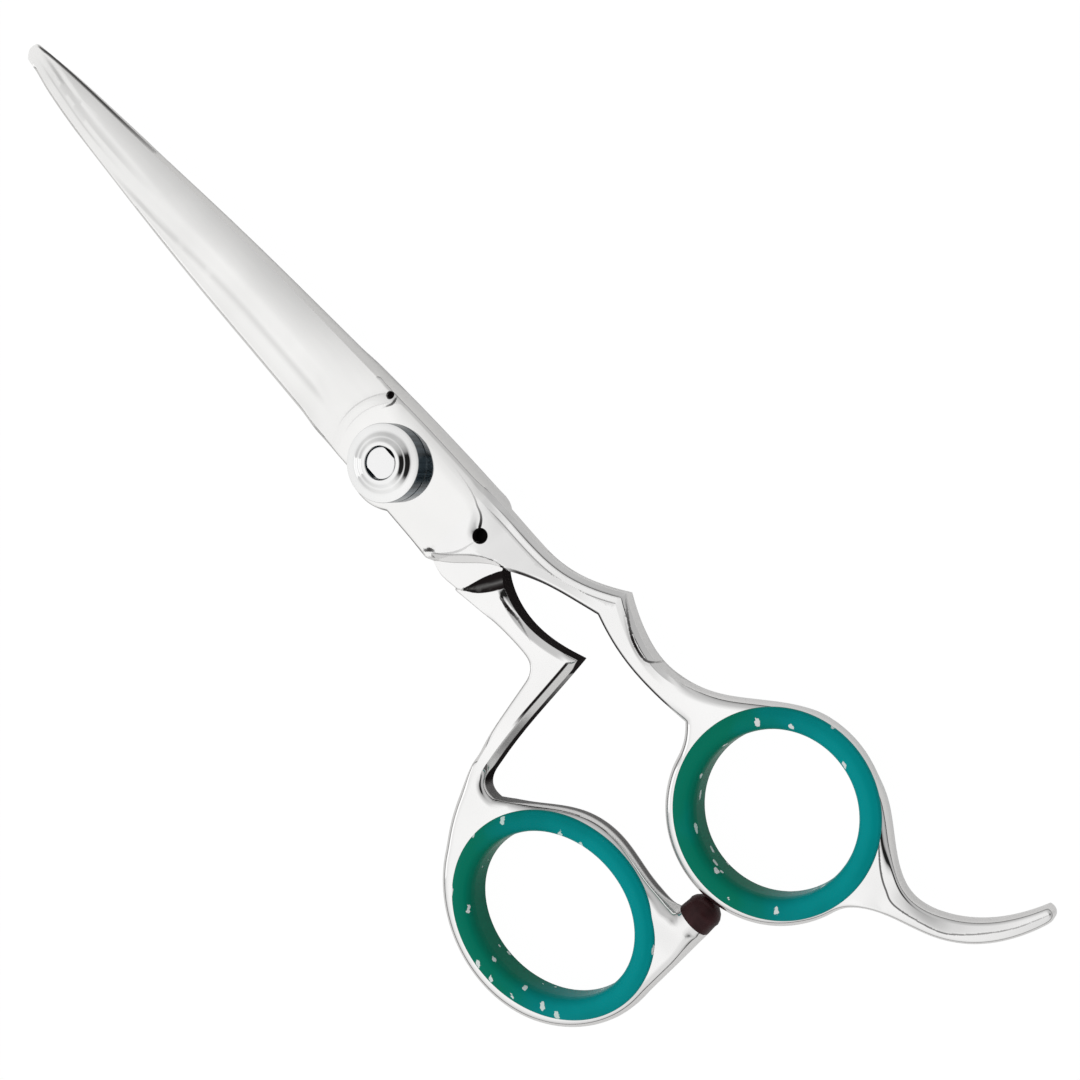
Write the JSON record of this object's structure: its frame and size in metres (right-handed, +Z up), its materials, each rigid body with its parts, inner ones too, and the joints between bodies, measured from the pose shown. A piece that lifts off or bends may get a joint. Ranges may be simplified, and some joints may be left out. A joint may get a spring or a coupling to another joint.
{
  "type": "hair cutting shears",
  "caption": "Offset-handle hair cutting shears with a domed tension dial, soft ring inserts, a finger rest and a rubber bumper between the rings.",
  "frame": {"origin": "on the pivot axis, at the underside of the pivot stud's head, in the plane the shears rest on", "axes": "+X from the pivot to the blade tips, +Y towards the thumb ring, +Z up out of the dial"},
  "size_m": [0.175, 0.0618, 0.0095],
  "materials": {
    "blade_steel": "satin ground",
    "handle_steel": "mirror polished",
    "pivot_steel": "polished, turned",
    "washer_steel": "rolled",
    "bearing_plastic": "natural acetal",
    "teal_insert": "glossy translucent",
    "bumper_rubber": "satin"
  },
  "bodies": {
    "finger_half": {"finger_blade": "blade_steel", "finger_handle": "handle_steel", "finger_insert": "teal_insert", "pivot_bush": "bearing_plastic"},
    "thumb_half": {"thumb_blade": "blade_steel", "thumb_handle": "handle_steel", "thumb_insert": "teal_insert", "bumper": "bumper_rubber", "pivot_stud": "pivot_steel", "blade_washer": "bearing_plastic", "thrust_washer": "washer_steel", "wave_washer": "washer_steel", "click_plate": "washer_steel"},
    "dial": {"tension_dial": "pivot_steel"}
  },
  "joints": [
    {"name": "blade_pivot", "type": "hinge", "parent": "finger_half", "child": "thumb_half", "pos_m": [0, 0, 0], "axis": [0, 0, -1], "range_deg": [0, 70]},
    {"name": "dial_turn", "type": "hinge", "parent": "thumb_half", "child": "dial", "pos_m": [0, 0, 0], "axis": [0, 0, 1], "range_deg": [-180, 180]}
  ]
}
